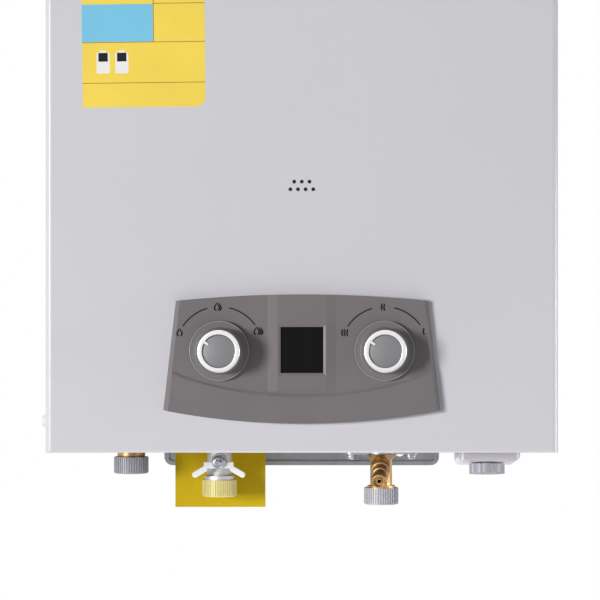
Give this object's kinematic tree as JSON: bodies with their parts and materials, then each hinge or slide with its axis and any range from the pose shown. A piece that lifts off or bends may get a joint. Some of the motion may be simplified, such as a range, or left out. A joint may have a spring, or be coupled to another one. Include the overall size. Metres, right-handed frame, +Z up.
{
  "type": "tankless gas water heater",
  "caption": "Wall-hung tankless gas water heater: white sheet-metal casing, grey dial panel with knobs and display, flue spigot on top, capped pipe ends and battery box below.",
  "frame": {"origin": "centre of the rectangle of wall holes, on the wall plane at the back plate's rear face", "axes": "+Z up along the casing's height, +X to the right seen from the front, +Y into the wall, so the dial panel faces -Y"},
  "size_m": [0.3366, 0.2046, 0.6713],
  "materials": {
    "casing_paint": "satin pearl white",
    "galvanised": "satin galvanised",
    "zinc_screw": "bright zinc",
    "white_nylon": "matte",
    "sight_glass": "clear",
    "fascia_plastic": "fine grain",
    "knob_plastic": "fine grain",
    "silver_trim": "silver satin",
    "display_black": "gloss",
    "circuit_board": "satin",
    "plain_steel": "satin",
    "cast_aluminium": "cast",
    "black_plastic": "satin",
    "copper": "dull copper",
    "brass": "cast and turned",
    "nickel": "satin nickel",
    "stainless": "satin",
    "ceramic": "glazed",
    "rubber": "matte",
    "cap_grey": "satin",
    "cap_cream": "satin",
    "tag_card": "matte",
    "battery_plastic": "satin",
    "cell_wrap": "film"
  },
  "bodies": {
    "heater": {"back_plate": "galvanised", "bottom_plate": "galvanised", "front_cover": "casing_paint", "casing_screws": "zinc_screw", "side_fixing": "white_nylon", "sight_glass": "sight_glass", "control_fascia": "fascia_plastic", "display_lens": "display_black", "display_board": "circuit_board", "gas_valve_block": "cast_aluminium", "gas_solenoid": "black_plastic", "gas_riser": "copper", "gas_manifold": "galvanised", "gas_injectors": "brass", "burner_frame": "galvanised", "burner_bars": "stainless", "electrodes": "ceramic", "combustion_chamber": "copper", "fin_block": "copper", "exchanger_tubes": "copper", "jacket_coil": "copper", "cold_riser": "copper", "hot_pipe": "copper", "draft_hood": "galvanised", "flue_duct": "galvanised", "flue_collar": "galvanised", "thermostats": "black_plastic", "hot_nipple": "brass", "gas_cock_body": "nickel", "gas_tag": "tag_card", "cold_inlet": "brass", "inlet_flange": "zinc_screw", "inlet_flange_screws": "zinc_screw", "water_valve_body": "brass", "water_valve_cover": "brass", "water_valve_screws": "zinc_screw", "water_diaphragm": "rubber", "microswitch": "black_plastic", "ignition_controller": "black_plastic", "battery_box": "battery_plastic", "battery_cells": "cell_wrap"},
    "gas_knob": {"gas_knob": "knob_plastic", "gas_knob_ring": "silver_trim", "gas_spindle": "plain_steel"},
    "water_knob": {"water_knob": "knob_plastic", "water_knob_ring": "silver_trim", "water_spindle": "plain_steel"},
    "gas_cock": {"gas_cock_handle": "white_nylon", "gas_cock_stem": "plain_steel", "gas_cock_ball": "nickel", "gas_cock_screw": "zinc_screw"},
    "battery_lid": {"battery_lid": "battery_plastic", "battery_spring": "plain_steel"},
    "battery_lock": {"battery_lock_knob": "battery_plastic"},
    "hot_cap": {"hot_cap": "cap_grey"},
    "gas_cap": {"gas_cap": "cap_cream"},
    "cold_cap": {"cold_cap": "cap_grey"},
    "drain_plug": {"drain_plug": "brass"},
    "push_rod": {"push_rod": "plain_steel"},
    "switch_lever": {"switch_lever": "plain_steel"}
  },
  "joints": [
    {"name": "gas_knob_turn", "type": "hinge", "parent": "heater", "child": "gas_knob", "pos_m": [-0.0528, -0.186, -0.2143], "axis": [0, 1, 0], "range_deg": [0, 114]},
    {"name": "water_knob_turn", "type": "hinge", "parent": "heater", "child": "water_knob", "pos_m": [0.0528, -0.186, -0.2143], "axis": [0, 1, 0], "range_deg": [0, 114]},
    {"name": "gas_cock_turn", "type": "hinge", "parent": "heater", "child": "gas_cock", "pos_m": [-0.056, -0.085, -0.291], "axis": [0, 1, 0], "range_deg": [0, 90]},
    {"name": "battery_lid_hinge", "type": "hinge", "parent": "heater", "child": "battery_lid", "pos_m": [0.1236, -0.0906, -0.2788], "axis": [1, 0, 0], "range_deg": [0, 95]},
    {"name": "battery_lock_turn", "type": "hinge", "parent": "battery_lid", "child": "battery_lock", "pos_m": [0.1236, -0.1165, -0.2905], "axis": [0, -0.1225, -0.9925], "range_deg": [0, 90]},
    {"name": "hot_cap_pull", "type": "slide", "parent": "heater", "child": "hot_cap", "axis": [0, 0, -1], "range_m": [0, 0.03]},
    {"name": "gas_cap_pull", "type": "slide", "parent": "heater", "child": "gas_cap", "axis": [0, 0, -1], "range_m": [0, 0.03]},
    {"name": "cold_cap_pull", "type": "slide", "parent": "heater", "child": "cold_cap", "axis": [0, 0, -1], "range_m": [0, 0.03]},
    {"name": "drain_plug_turn", "type": "hinge", "parent": "heater", "child": "drain_plug", "pos_m": [0.054, -0.085, -0.2925], "axis": [-0.0663, -0.9487, -0.309], "range_deg": [0, 360]},
    {"name": "push_rod_slide", "type": "slide", "parent": "heater", "child": "push_rod", "axis": [-1, 0, 0], "range_m": [0, 0.004], "stiffness_N_per_m": 150, "springref_m": -0.002},
    {"name": "switch_lever_turn", "type": "hinge", "parent": "heater", "child": "switch_lever", "pos_m": [-0.001, -0.085, -0.2043], "axis": [0, 1, 0], "range_deg": [0, 30]}
  ],
  "couplings": [
    {"joint": "switch_lever_turn", "follows": "push_rod_slide", "rad_per_m": 130.8}
  ]
}
